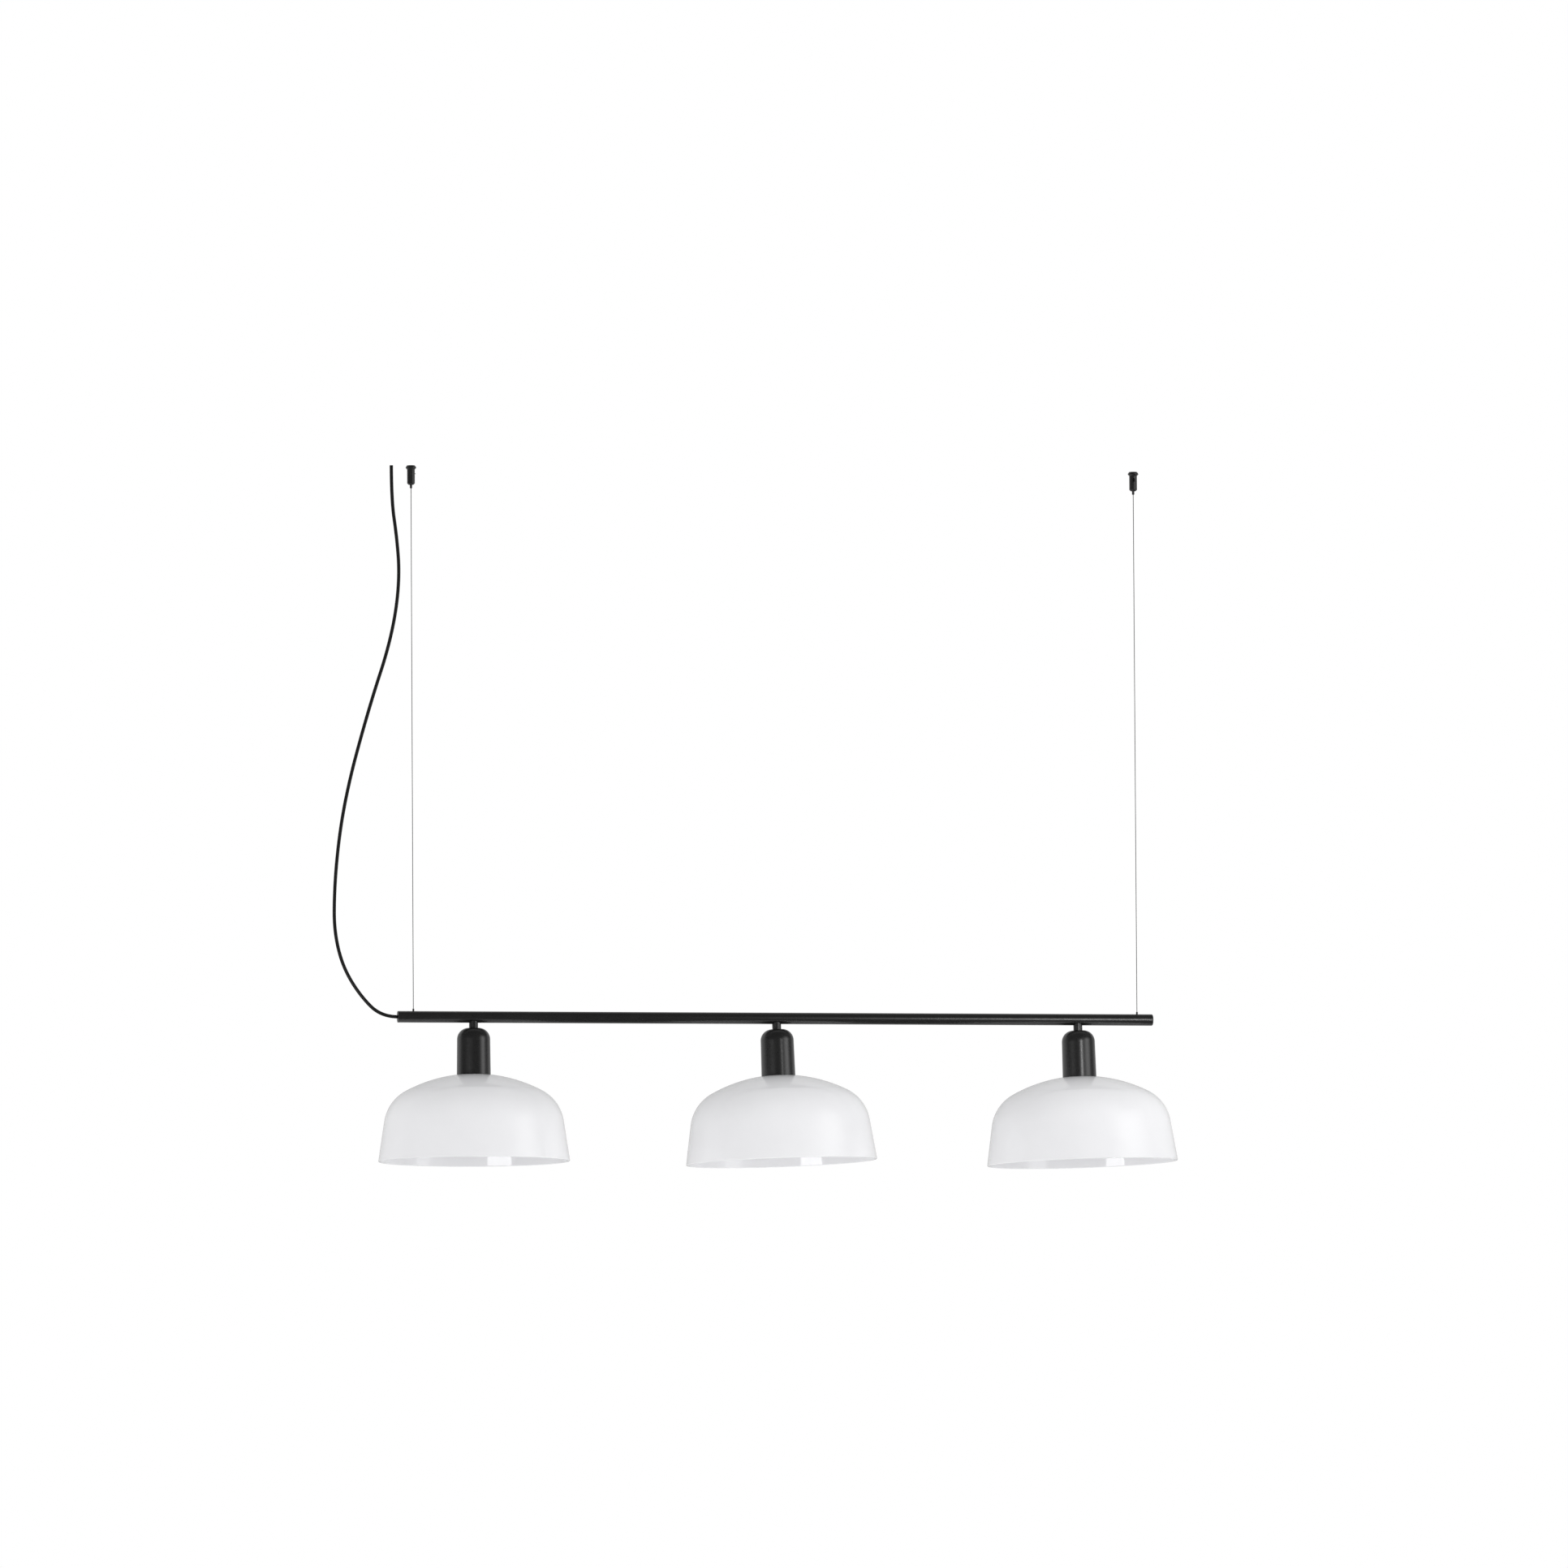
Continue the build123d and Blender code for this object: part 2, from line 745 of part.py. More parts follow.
def shade_profile(inset):
    """Points where the glass's side view changes curve, drawn in by a wall: hole, shoulder, side, rim."""
    flare = radians(shade_flare)
    inwards = Vector(-cos(flare), -sin(flare))
    upwards = Vector(-sin(flare), cos(flare))
    rim = Vector(shade_diameter / 2, shade_rim)
    centre = Vector(0, crown_centre)
    # The shoulder's centre is one shoulder radius inside the side wall and lies inside the crown's circle.
    foot = rim + inwards * shade_shoulder_radius - centre
    along = foot.dot(upwards)
    reach = shade_crown_radius - shade_shoulder_radius
    climb = -along + sqrt(along**2 - foot.dot(foot) + reach**2)
    shoulder = foot + upwards * climb
    hole_radius = shade_hole_diameter / 2
    hole = Vector(hole_radius, crown_centre + sqrt((shade_crown_radius - inset) ** 2 - hole_radius**2))
    crown_end = centre + shoulder.normalized() * (shade_crown_radius - inset)
    side_start = centre + shoulder - inwards * (shade_shoulder_radius - inset)
    return hole, crown_end, side_start, rim + inwards * inset


def make_shade(head):
    """Blown opal glass: a shallow crown, a round shoulder, a slightly flared side and a rounded rim."""
    frame = head_frame(head)
    outer = shade_profile(0)
    inner = shade_profile(shade_wall)
    with BuildPart() as shade:
        with BuildSketch(section_of(frame)) as side_view:
            with BuildLine():
                for inset, (hole, crown_end, side_start, rim) in ((0, outer), (shade_wall, inner)):
                    RadiusArc(hole, crown_end, shade_crown_radius - inset)
                    RadiusArc(crown_end, side_start, shade_shoulder_radius - inset)
                    Line(side_start, rim)
                Line(outer[0], inner[0])
                Line(outer[-1], inner[-1])
            make_face()
            fillet(side_view.vertices().sort_by(Axis.Y)[:2], shade_rim_radius)
        revolve(axis=axis_of(frame))
    save(shade, f"shade_{head}")


def make_shade_ring(head):
    """Flanged ring on the lampholder's skirt, which clamps the glass up against the cup."""
    bore_radius = holder_radius + slip_gap
    flange_bottom = ring_top - ring_flange_height
    outline = [
        (bore_radius, ring_top),
        (ring_seat_radius, ring_top),
        (ring_seat_radius, flange_bottom),
        (ring_collar_diameter / 2, flange_bottom),
        (ring_collar_diameter / 2, ring_bottom),
        (bore_radius, ring_bottom),
    ]
    with BuildPart() as shade_ring:
        turn(head_frame(head), outline)
        with BuildSketch(head_frame(head).offset(ring_bottom)):
            with PolarLocations(ring_collar_diameter / 2, ring_groove_count):
                Circle(ring_groove_radius)
        extrude(amount=flange_bottom - ring_bottom, mode=Mode.SUBTRACT)
    save(shade_ring, f"shade_ring_{head}")


def make_bulb_cap(head):
    """Bulb's screw cap: end contact, insulator and thread."""
    contact_bottom = bulb_top - bulb_contact_height
    insulator_bottom = contact_bottom - bulb_insulator_height
    thread_top = insulator_bottom - (bulb_thread_diameter - bulb_insulator_diameter) / 2
    outline = [
        (0, bulb_top),
        (bulb_contact_diameter / 2, bulb_top),
        (bulb_contact_diameter / 2, contact_bottom),
        (bulb_insulator_diameter / 2, insulator_bottom),
        (bulb_thread_diameter / 2, thread_top),
        (bulb_thread_diameter / 2, bulb_cap_bottom),
        (0, bulb_cap_bottom),
    ]
    with BuildPart() as bulb_cap:
        turn(head_frame(head), outline)
    save(bulb_cap, f"bulb_cap_{head}")


def make_bulb_globe(head):
    """Bulb's hollow glass: a neck that flares into a round globe."""
    frame = head_frame(head)
    neck_radius = bulb_neck_diameter / 2
    globe_radius = bulb_globe_diameter / 2
    flare_angle = degrees(acos((neck_radius + bulb_flare_radius) / (bulb_flare_radius + globe_radius)))
    ends = []
    with BuildPart() as bulb_globe:
        with BuildSketch(section_of(frame)):
            with BuildLine():
                for inset in (0, bulb_wall):
                    neck = (neck_radius - inset, bulb_cap_bottom)
                    flare = JernArc(neck, (0, -1), bulb_flare_radius + inset, flare_angle)
                    globe = JernArc(flare @ 1, flare % 1, globe_radius - inset, -90 - flare_angle)
                    ends.append((neck, (0, (globe @ 1).Y)))
                Line(ends[0][0], ends[1][0])
                Line(ends[0][1], ends[1][1])
            make_face()
        revolve(axis=axis_of(frame))
    save(bulb_globe, f"bulb_globe_{head}")


os.makedirs("parts", exist_ok=True)

for side in sides:
    make_ceiling_base(side)
    make_grip_sleeve(side)
    make_spring_seat(side)
    make_grip_spring(side)
    make_grip_plunger(side)
    make_wire_tail(side)
    make_suspension_wire(side)

make_power_cable()
make_bar_tube()
make_wire_bushes()
make_wire_stops()
make_bar_end("right", "bar_end_cap", cap_edge_radius, None)
make_bar_end("left", "cable_end_plug", plug_edge_radius, cable_radius + slip_gap)
make_cable_crimp()
make_cable_inner_end()
make_lead_splices()
make_saddle_nuts()
make_nipples()
make_lock_nuts()
make_centre_contacts()

for head in heads:
    make_lamp_leads(head)
    make_spacer(head)
    make_cup(head)
    make_holder_cap(head)
    make_holder_skirt(head)
    make_holder_insert(head)
    make_screw_shell(head)
    make_shade_ring(head)
    make_shade(head)
    make_bulb_cap(head)
    make_bulb_globe(head)
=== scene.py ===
"""Looks of a linear pendant light: finishes, cable, suspension wires, studio and camera.

Metres, in the part's own frame: the origin is on the ceiling, +X runs along the bar and
+Z points up.
"""

import json
import math

import bpy
from mathutils import Matrix, Vector


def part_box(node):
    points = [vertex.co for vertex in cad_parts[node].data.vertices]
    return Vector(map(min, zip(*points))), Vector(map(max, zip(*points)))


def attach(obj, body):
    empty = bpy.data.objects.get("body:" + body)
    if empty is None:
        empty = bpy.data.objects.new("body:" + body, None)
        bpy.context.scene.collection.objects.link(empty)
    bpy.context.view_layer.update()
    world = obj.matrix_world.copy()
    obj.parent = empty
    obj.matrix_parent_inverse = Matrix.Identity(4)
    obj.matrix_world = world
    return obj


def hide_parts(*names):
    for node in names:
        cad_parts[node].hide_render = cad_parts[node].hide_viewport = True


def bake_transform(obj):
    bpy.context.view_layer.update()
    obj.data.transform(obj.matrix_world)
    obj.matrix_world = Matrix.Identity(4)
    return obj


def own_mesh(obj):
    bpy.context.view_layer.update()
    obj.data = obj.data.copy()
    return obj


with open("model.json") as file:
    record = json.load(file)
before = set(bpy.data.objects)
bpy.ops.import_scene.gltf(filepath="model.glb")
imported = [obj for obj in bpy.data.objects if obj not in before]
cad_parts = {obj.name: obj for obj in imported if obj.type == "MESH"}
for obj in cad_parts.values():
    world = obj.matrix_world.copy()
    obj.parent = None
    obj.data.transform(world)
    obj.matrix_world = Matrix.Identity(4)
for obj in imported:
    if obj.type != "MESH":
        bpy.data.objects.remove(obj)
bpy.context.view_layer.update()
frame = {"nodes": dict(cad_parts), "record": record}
scene = bpy.context.scene
scene.view_settings.view_transform = "Standard"

SIDES = ("left", "right")

# Finishes
NOISE_LOW, NOISE_HIGH = 0.3, 0.7  # nearly all noise lies between these
EVEN_SCATTER = (1.0, 1.0, 1.0)  # red, green and blue go equally deep into glass

# Cable: control points of its smooth line, from the bar's end up to the ceiling
CABLE_POINTS = [
    (-0.6000, 0.000, -0.8650),
    (-0.6260, 0.000, -0.8650),
    (-0.6595, 0.002, -0.8310),
    (-0.6860, 0.005, -0.7855),
    (-0.6983, 0.008, -0.7305),
    (-0.6975, 0.010, -0.6710),
    (-0.6926, 0.011, -0.6100),
    (-0.6841, 0.011, -0.5490),
    (-0.6711, 0.010, -0.4875),
    (-0.6548, 0.008, -0.4265),
    (-0.6350, 0.005, -0.3585),
    (-0.6132, 0.002, -0.2920),
    (-0.5994, -0.001, -0.2290),
    (-0.5942, -0.003, -0.1680),
    (-0.5986, -0.003, -0.1105),
    (-0.6060, 0.000, -0.0555),
    (-0.6060, 0.000, 0.0000),
]
CABLE_DIAMETER = 0.0054
CABLE_SIDES = 20
CABLE_STEPS = 12  # points read along the curve for each of its spans

# Suspension wires: six strands laid round a straight one
STRAND_COUNT = 6
STRANDS_ACROSS = 3
STRAND_LAY = 0.012  # length of one full turn
STRAND_STEPS = 8  # rings in one turn
STRAND_SIDES = 6

# Camera
FRAME_WIDTH = 2.4603  # what the picture's width takes in at the light
CAMERA_DISTANCE = 30.0
CAMERA_REACH = 90.0
CAMERA_AZIMUTH = -9.5  # degrees, negative to the left of the bar's middle
CAMERA_ELEVATION = -4.22
CAMERA_ROLL = -0.34
AIM_RIGHT = 0.0142  # from the middle of the bar, across the picture
AIM_HEIGHT = -0.4966
SENSOR_WIDTH = 36.0  # millimetres, as the lens is

# Studio
FLOOR_HEIGHT = -2.2
FLOOR_RADIUS = 5.0
FLOOR_FADE_START = 0.2  # share of the radius
FLOOR_LEVEL = 0.9
BACKGROUND_LEVEL = 1.0  # white, as the camera sees it
FILL_SIDES = 1.25  # light on matt surfaces from all round
FILL_TOP = 0.42  # and from straight above
FILL_HEADING = (0.0, 0.9)  # how far up a direction points, from sides to top
BACKDROP_LEVEL = 0.55  # what gloss shows of the pale backdrop behind the light
ROOM_LEVEL = 0.08  # what gloss shows of the darker room in front of it
BACKDROP_HEADING = (-0.05, 0.6)  # how far back a direction points, from room to backdrop

# Lamps: a card shows in gloss alone, and a lamp that is no card lights matt surfaces alone
LAMP_POWER = 4.0  # of an area lamp, for each unit of radiance and of area
LAMPS = {
    "side": {
        "place": (1.35, -0.75, -0.2),
        "aim": (0.1, 0.0, -1.0),
        "size": (1.1, 0.9),
        "radiance": 0.36,
        "spread": 80.0,
        "card": False,
    },
    "under": {
        "place": (0.1, -0.1, -1.9),
        "aim": (0.0, 0.0, -1.1),
        "size": (2.2, 0.7),
        "radiance": 0.68,
        "card": False,
    },
    "panel": {
        "place": (3.3, -2.25, -0.3),
        "aim": (0.0, 0.0, -0.9),
        "size": (4.2, 4.2),
        "radiance": 1.3,
        "fade": 0.5,
    },
    "window": {
        "place": (-2.23, -2.0, -1.78),
        "aim": (0.0, 0.0, -1.1),
        "size": (1.5, 0.55),
        "radiance": 5.0,
        "fade": 0.0,
    },
    "pane": {
        "place": (2.65, -1.79, -1.8),
        "aim": (0.0, 0.0, -1.1),
        "size": (1.3, 0.7),
        "radiance": 1.6,
        "fade": 0.0,
    },
    "strip": {
        "place": (0.93, -2.5, -0.7),
        "aim": (0.71, 0.0, -0.93),
        "size": (0.2, 0.9),
        "radiance": 0.8,
        "spread": 40.0,
        "weight": 100.0,
    },
}


def add_node(tree, kind, inputs=None, **settings):
    """Add a node, set its properties, and set or link its inputs."""
    node = tree.nodes.new(kind)
    for name, value in settings.items():
        setattr(node, name, value)
    for name, value in (inputs or {}).items():
        if isinstance(value, bpy.types.NodeSocket):
            tree.links.new(value, node.inputs[name])
        else:
            node.inputs[name].default_value = value
    return node


def ranged(tree, value, start, end, low, high):
    """A value that goes smoothly from low to high while another goes from start to end."""
    inputs = {"Value": value, "From Min": start, "From Max": end, "To Min": low, "To Max": high}
    smooth = add_node(tree, "ShaderNodeMapRange", inputs, interpolation_type="SMOOTHSTEP")
    return smooth.outputs["Result"]


def combined(tree, operation, first, second):
    """Two values joined by one step of arithmetic."""
    step = add_node(tree, "ShaderNodeMath", {0: first, 1: second}, operation=operation)
    return step.outputs["Value"]


def chosen(tree, factor, off, on):
    """One value where the factor is 0, and another where it is 1."""
    mixed = add_node(tree, "ShaderNodeMix", {"Factor": factor, "A": off, "B": on})
    return mixed.outputs["Result"]


def grey(level, blue=1.0):
    """An opaque grey, or one a little towards blue or yellow."""
    return (level, level, level * blue, 1.0)


class Finish:
    """A material made of one principled shader, with noise in the part's own metres."""

    def __init__(self, name, **inputs):
        self.material = bpy.data.materials.new(name)
        self.material.use_nodes = True
        self.tree = self.material.node_tree
        self.shader = self.tree.nodes["Principled BSDF"]
        for socket, value in inputs.items():
            self.shader.inputs[socket.replace("_", " ")].default_value = value
        self.place = add_node(self.tree, "ShaderNodeTexCoord").outputs["Object"]

    def noise(self, size, detail=2.0):
        """Noise whose patches are about this many metres across."""
        inputs = {"Vector": self.place, "Scale": 1.0 / size, "Detail": detail}
        return add_node(self.tree, "ShaderNodeTexNoise", inputs).outputs["Fac"]

    def vary(self, socket, factor, low, high):
        """Let a shader input run between two values as the noise does."""
        inputs = {
            "Value": factor,
            "From Min": NOISE_LOW,
            "From Max": NOISE_HIGH,
            "To Min": low,
            "To Max": high,
        }
        mapped = add_node(self.tree, "ShaderNodeMapRange", inputs)
        self.tree.links.new(mapped.outputs["Result"], self.shader.inputs[socket])

    def tint(self, factor, low, high):
        """Let the colour run between two colours as the noise does."""
        ramp = add_node(self.tree, "ShaderNodeValToRGB", {"Fac": factor})
        first, last = ramp.color_ramp.elements
        first.position, first.color = NOISE_LOW, low
        last.position, last.color = NOISE_HIGH, high
        self.tree.links.new(ramp.outputs["Color"], self.shader.inputs["Base Color"])

    def bump(self, height, depth):
        """Raise the surface by the noise, to this depth in metres."""
        raised = add_node(self.tree, "ShaderNodeBump", {"Height": height, "Distance": depth})
        self.tree.links.new(raised.outputs["Normal"], self.shader.inputs["Normal"])


def black_metal():
    """Satin powder coat with a fine orange peel."""
    finish = Finish("black_metal", IOR=1.8)
    finish.tint(finish.noise(size=0.02), low=grey(0.007), high=grey(0.0095))
    finish.vary("Roughness", finish.noise(size=0.004), low=0.27, high=0.32)
    finish.bump(finish.noise(size=0.0012, detail=1.0), depth=0.00001)
    return finish.material


def opal_glass():
    """White blown glass under a clear, glossy skin, with a slight wave in it."""
    finish = Finish(
        "opal_glass",
        Roughness=0.03,
        IOR=1.5,
        Subsurface_Weight=0.35,
        Subsurface_Radius=EVEN_SCATTER,
        Subsurface_Scale=0.004,
    )
    finish.tint(finish.noise(size=0.06), low=grey(0.885, 1.02), high=grey(0.905, 1.02))
    finish.bump(finish.noise(size=0.035, detail=0.0), depth=0.0001)
    return finish.material


def bare_steel(name, level, roughness):
    """Drawn or plated steel, brighter and duller in small patches."""
    finish = Finish(name, Metallic=1.0)
    finish.tint(finish.noise(size=0.003), low=grey(0.85 * level), high=grey(1.1 * level))
    finish.vary(
        "Roughness", finish.noise(size=0.0015), low=0.8 * roughness, high=1.2 * roughness
    )
    finish.bump(finish.noise(size=0.0006), depth=0.000008)
    return finish.material


def black_cable():
    """Matt sheath with a faint grain."""
    finish = Finish("black_cable", IOR=1.5, Specular_IOR_Level=0.3)
    finish.tint(finish.noise(size=0.01), low=grey(0.008), high=grey(0.011))
    finish.vary("Roughness", finish.noise(size=0.002), low=0.36, high=0.46)
    finish.bump(finish.noise(size=0.0008), depth=0.00002)
    return finish.material


def moulded(name, low, high, roughness):
    """Matt moulding with a fine spark-eroded grain."""
    finish = Finish(name, IOR=1.48)
    finish.tint(finish.noise(size=0.006), low, high)
    finish.vary(
        "Roughness", finish.noise(size=0.002), low=0.85 * roughness, high=1.15 * roughness
    )
    finish.bump(finish.noise(size=0.0005), depth=0.00002)
    return finish.material


def brass():
    """Bare turned brass, a little tarnished in patches."""
    finish = Finish("brass", Metallic=1.0)
    tarnished, bright = (0.62, 0.44, 0.18, 1.0), (0.74, 0.56, 0.27, 1.0)
    finish.tint(finish.noise(size=0.004), tarnished, bright)
    finish.vary("Roughness", finish.noise(size=0.002), low=0.2, high=0.34)
    return finish.material


def bulb_glass():
    """Frosted glass, white inside."""
    finish = Finish(
        "bulb_glass",
        IOR=1.45,
        Subsurface_Weight=0.3,
        Subsurface_Radius=EVEN_SCATTER,
        Subsurface_Scale=0.003,
    )
    finish.tint(finish.noise(size=0.01), low=grey(0.86, 0.98), high=grey(0.89, 0.98))
    finish.vary("Roughness", finish.noise(size=0.003), low=0.42, high=0.5)
    return finish.material


MATERIALS = {
    "black_metal": black_metal(),
    "steel_wire": bare_steel("steel_wire", level=0.18, roughness=0.38),
    "plain_steel": bare_steel("plain_steel", level=0.6, roughness=0.32),
    "black_cable": black_cable(),
    "lead_insulation": moulded("lead_insulation", grey(0.18), grey(0.22), roughness=0.5),
    "holder_plastic": moulded("holder_plastic", grey(0.014), grey(0.02), roughness=0.45),
    "white_ceramic": moulded(
        "white_ceramic", grey(0.78, 0.96), grey(0.84, 0.96), roughness=0.3
    ),
    "brass": brass(),
    "nickel": bare_steel("nickel", level=0.68, roughness=0.22),
    "opal_glass": opal_glass(),
    "bulb_glass": bulb_glass(),
}


def dress_cad_nodes():
    """Give every CAD node the finish of its slot in the record."""
    for part in frame["record"]["subparts"]:
        for slot in frame["nodes"][part["node"]].material_slots:
            slot.material = MATERIALS[part["material_slot"]]


def add_piece(name, vertices, faces, slot):
    """A smooth mesh piece in its slot's finish."""
    mesh = bpy.data.meshes.new(name)
    mesh.from_pydata(vertices, [], faces)
    mesh.validate()
    mesh.update()
    mesh.shade_smooth()
    mesh.materials.append(MATERIALS[slot])
    piece = bpy.data.objects.new(name, mesh)
    scene.collection.objects.link(piece)
    return piece


def spline_points(route, steps):
    """Points along a smooth curve that takes the route as its control points."""
    curve = bpy.data.curves.new("route", "CURVE")
    curve.dimensions = "3D"
    curve.resolution_u = steps
    spline = curve.splines.new("NURBS")
    spline.points.add(len(route) - 1)
    for point, place in zip(spline.points, route):
        point.co = (*place, 1.0)
    spline.order_u = 3
    spline.use_endpoint_u = True
    holder = bpy.data.objects.new("route", curve)
    line = bpy.data.meshes.new_from_object(holder)
    points = [vertex.co.copy() for vertex in line.vertices]
    bpy.data.meshes.remove(line)
    bpy.data.objects.remove(holder)
    bpy.data.curves.remove(curve)
    return points


def tube(points, radius, sides):
    """Vertices and faces of a closed round tube, twisted as little as its path allows."""
    tangents = [
        (after - before).normalized()
        for before, after in zip([points[0], *points[:-1]], [*points[1:], points[-1]])
    ]
    across = tangents[0].orthogonal().normalized()
    vertices = []
    for point, tangent in zip(points, tangents):
        across = (across - tangent * across.dot(tangent)).normalized()
        beside = tangent.cross(across)
        for side in range(sides):
            angle = 2 * math.pi * side / sides
            outward = math.cos(angle) * across + math.sin(angle) * beside
            vertices.append(point + radius * outward)
    faces = []
    for ring in range(len(points) - 1):
        for side in range(sides):
            following = (side + 1) % sides
            low, high = ring * sides, (ring + 1) * sides
            faces.append((low + side, low + following, high + following, high + side))
    faces.append(tuple(reversed(range(sides))))
    last = (len(points) - 1) * sides
    faces.append(tuple(range(last, last + sides)))
    return vertices, faces


def make_cable():
    """The free cable, from the bar's end plug to the ceiling."""
    points = spline_points(CABLE_POINTS, CABLE_STEPS)
    vertices, faces = tube(points, CABLE_DIAMETER / 2, CABLE_SIDES)
    cable = add_piece("cable", vertices, faces, "black_cable")
    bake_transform(cable)
    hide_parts("power_cable")


def strand_line(middle, radius, heights, start):
    """A strand's line round the wire's middle, which starts at this share of a turn."""
    line = []
    for step, height in enumerate(heights):
        angle = 2 * math.pi * (step / STRAND_STEPS + start)
        x = middle.x + radius * math.cos(angle)
        y = middle.y + radius * math.sin(angle)
        line.append(Vector((x, y, height)))
    return line


def make_wire(side):
    """A stranded wire in place of its plain solid, up to the tail that the ceiling grip holds.

    It is drawn up towards its upper end as the bar is raised.
    """
    node = f"suspension_wire_{side}"
    low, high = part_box(node)
    high.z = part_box(f"wire_tail_{side}")[0].z
    length = high.z - low.z
    middle = (low + high) / 2
    radius = (high.x - low.x) / (2 * STRANDS_ACROSS)
    steps = round(length / STRAND_LAY * STRAND_STEPS)
    heights = [high.z - length * step / steps for step in range(steps + 1)]
    lines = [[Vector((middle.x, middle.y, height)) for height in (heights[0], heights[-1])]]
    for strand in range(STRAND_COUNT):
        lines.append(strand_line(middle, 2 * radius, heights, strand / STRAND_COUNT))
    vertices, faces = [], []
    for line in lines:
        start = len(vertices)
        strand_vertices, strand_faces = tube(line, radius, STRAND_SIDES)
        vertices += strand_vertices
        faces += [tuple(start + index for index in face) for face in strand_faces]
    wire = add_piece(f"wire_{side}", vertices, faces, "steel_wire")
    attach(wire, "suspension")
    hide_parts(node)
    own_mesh(wire)


def make_world():
    """White to the camera. Gloss sees a pale backdrop behind the light, and else a darker room."""
    scene.world = bpy.data.worlds.new("studio")
    scene.world.use_nodes = True
    tree = scene.world.node_tree
    tree.nodes.clear()
    path = add_node(tree, "ShaderNodeLightPath").outputs
    direction = add_node(tree, "ShaderNodeTexCoord").outputs["Generated"]
    heading = add_node(tree, "ShaderNodeSeparateXYZ", {"Vector": direction}).outputs
    shown = ranged(tree, heading["Y"], *BACKDROP_HEADING, ROOM_LEVEL, BACKDROP_LEVEL)
    fill = ranged(tree, heading["Z"], *FILL_HEADING, FILL_SIDES, FILL_TOP)
    mirrored = combined(tree, "MAXIMUM", path["Is Glossy Ray"], path["Is Transmission Ray"])
    lit = chosen(tree, mirrored, fill, shown)
    seen = chosen(tree, path["Is Camera Ray"], lit, BACKGROUND_LEVEL)
    light = add_node(tree, "ShaderNodeBackground", {"Color": grey(1.0), "Strength": seen})
    add_node(tree, "ShaderNodeOutputWorld", {"Surface": light.outputs["Background"]})


def soften(lamp, fade, strength):
    """Let a lamp fade towards its edges, over this share of its width and of its height."""
    lamp.use_nodes = True
    tree = lamp.node_tree
    half = 0.5  # the lamp's width and height run from 0 to 1
    spot = add_node(tree, "ShaderNodeNewGeometry").outputs["Parametric"]
    inputs = {0: spot, 1: (half, half, 0.0)}
    offset = add_node(tree, "ShaderNodeVectorMath", inputs, operation="SUBTRACT").outputs["Vector"]
    distance = add_node(tree, "ShaderNodeVectorMath", {0: offset}, operation="ABSOLUTE")
    across = add_node(tree, "ShaderNodeSeparateXYZ", {"Vector": distance.outputs["Vector"]}).outputs
    along_width = ranged(tree, across["X"], half - fade, half, strength, 0.0)
    along_height = ranged(tree, across["Y"], half - fade, half, 1.0, 0.0)
    faded = combined(tree, "MULTIPLY", along_width, along_height)
    tree.links.new(faded, tree.nodes["Emission"].inputs["Strength"])


def add_softbox(
    name, place, aim, size, radiance, fade=0.1, spread=180.0, card=True, weight=1.0
):
    """A rectangular lamp out of the camera's sight, with its spread in degrees.

    A small lamp beside large ones is drawn too rarely and looks grainy, so its weight raises
    its power and lowers its strength alike.
    """
    lamp = bpy.data.lights.new(name, "AREA")
    lamp.shape = "RECTANGLE"
    width, height = size
    lamp.size, lamp.size_y = width, height
    lamp.energy = LAMP_POWER * radiance * width * height * weight
    lamp.spread = math.radians(spread)
    if fade:
        soften(lamp, fade, 1 / weight)
    softbox = bpy.data.objects.new(name, lamp)
    softbox.location = place
    softbox.rotation_euler = (Vector(aim) - Vector(place)).to_track_quat("-Z", "Y").to_euler()
    softbox.visible_camera = False
    softbox.visible_diffuse = not card
    softbox.visible_glossy = card
    scene.collection.objects.link(softbox)


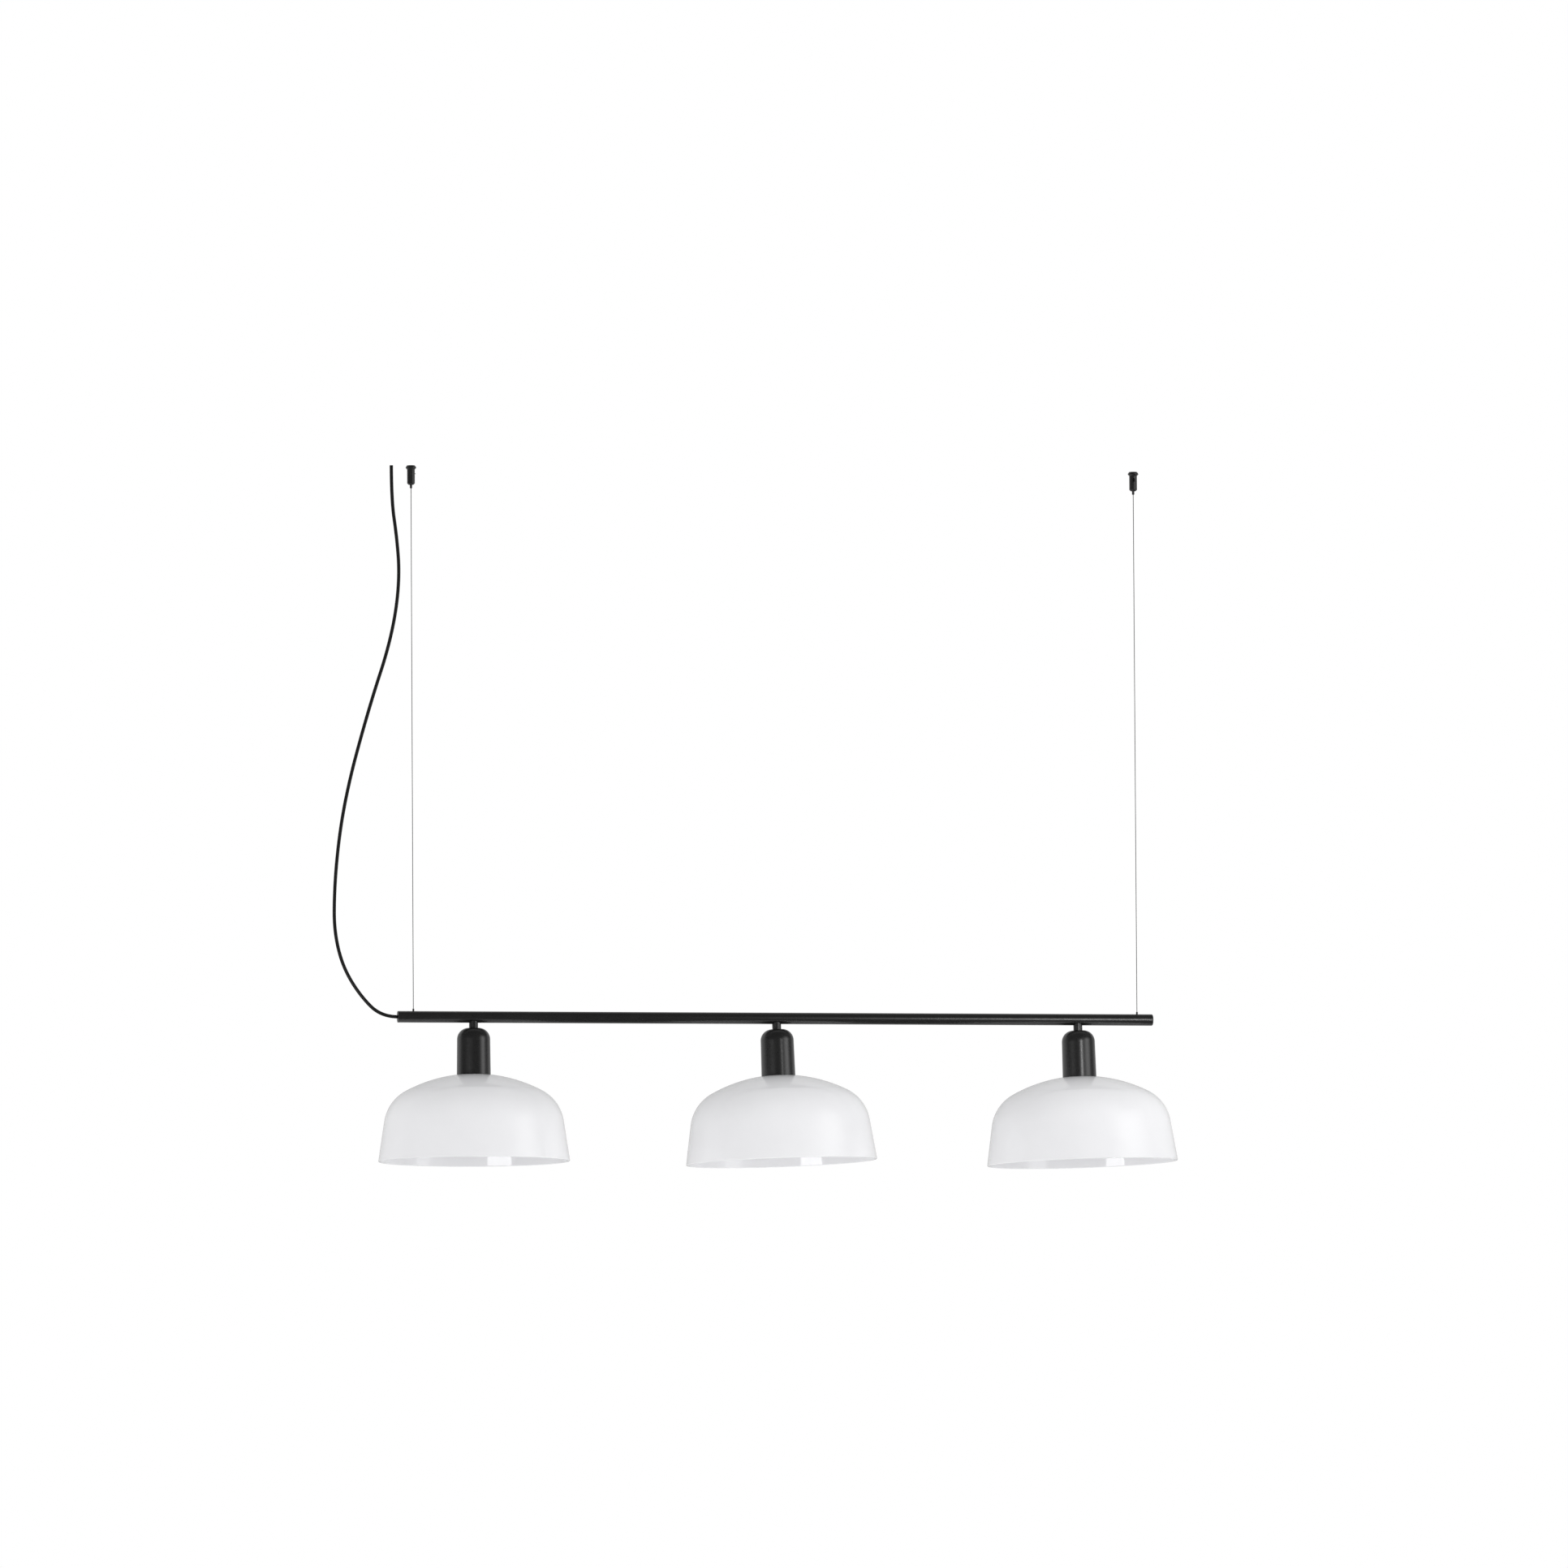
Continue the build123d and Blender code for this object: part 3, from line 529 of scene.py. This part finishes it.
def make_floor():
    """A pale floor that fades out all round and isn't seen from below or in gloss."""
    mesh = bpy.data.meshes.new("floor")
    r = FLOOR_RADIUS
    mesh.from_pydata([(-r, -r, 0), (r, -r, 0), (r, r, 0), (-r, r, 0)], [], [(0, 1, 2, 3)])
    floor = bpy.data.objects.new("floor", mesh)
    floor.location = (0.0, 0.0, FLOOR_HEIGHT)
    material = bpy.data.materials.new("floor")
    material.use_nodes = True
    tree = material.node_tree
    tree.nodes.clear()
    place = add_node(tree, "ShaderNodeTexCoord").outputs["Object"]
    reach = add_node(tree, "ShaderNodeVectorMath", {0: place}, operation="LENGTH").outputs["Value"]
    edge = ranged(tree, reach, FLOOR_FADE_START * r, r, 0.0, 1.0)
    below = add_node(tree, "ShaderNodeNewGeometry").outputs["Backfacing"]
    mirrored = add_node(tree, "ShaderNodeLightPath").outputs["Is Glossy Ray"]
    clear = combined(tree, "MAXIMUM", edge, combined(tree, "MAXIMUM", below, mirrored))
    matt = add_node(tree, "ShaderNodeBsdfDiffuse", {"Color": grey(FLOOR_LEVEL)}).outputs["BSDF"]
    gone = add_node(tree, "ShaderNodeBsdfTransparent").outputs["BSDF"]
    mixed = add_node(tree, "ShaderNodeMixShader", {"Fac": clear, 1: matt, 2: gone})
    add_node(tree, "ShaderNodeOutputMaterial", {"Surface": mixed.outputs["Shader"]})
    mesh.materials.append(material)
    scene.collection.objects.link(floor)


def make_camera():
    """Far off, a little to the left and below, as the light is pictured."""
    azimuth = math.radians(CAMERA_AZIMUTH)
    elevation = math.radians(CAMERA_ELEVATION)
    level = math.cos(elevation)
    back = Vector((math.sin(azimuth) * level, -math.cos(azimuth) * level, math.sin(elevation)))
    right = Vector((math.cos(azimuth), math.sin(azimuth), 0.0))
    aim = right * AIM_RIGHT + Vector((0.0, 0.0, AIM_HEIGHT))
    lens = bpy.data.cameras.new("camera")
    lens.sensor_width = SENSOR_WIDTH
    lens.lens = SENSOR_WIDTH * CAMERA_DISTANCE / FRAME_WIDTH
    lens.clip_end = CAMERA_REACH
    camera = bpy.data.objects.new("camera", lens)
    turn = (-back).to_track_quat("-Z", "Y").to_matrix().to_4x4()
    roll = Matrix.Rotation(math.radians(CAMERA_ROLL), 4, "Z")
    camera.matrix_world = Matrix.Translation(aim + back * CAMERA_DISTANCE) @ turn @ roll
    scene.collection.objects.link(camera)
    scene.camera = camera


dress_cad_nodes()
make_cable()
for side in SIDES:
    make_wire(side)
make_world()
for name, settings in LAMPS.items():
    add_softbox(name, **settings)
make_floor()
make_camera()
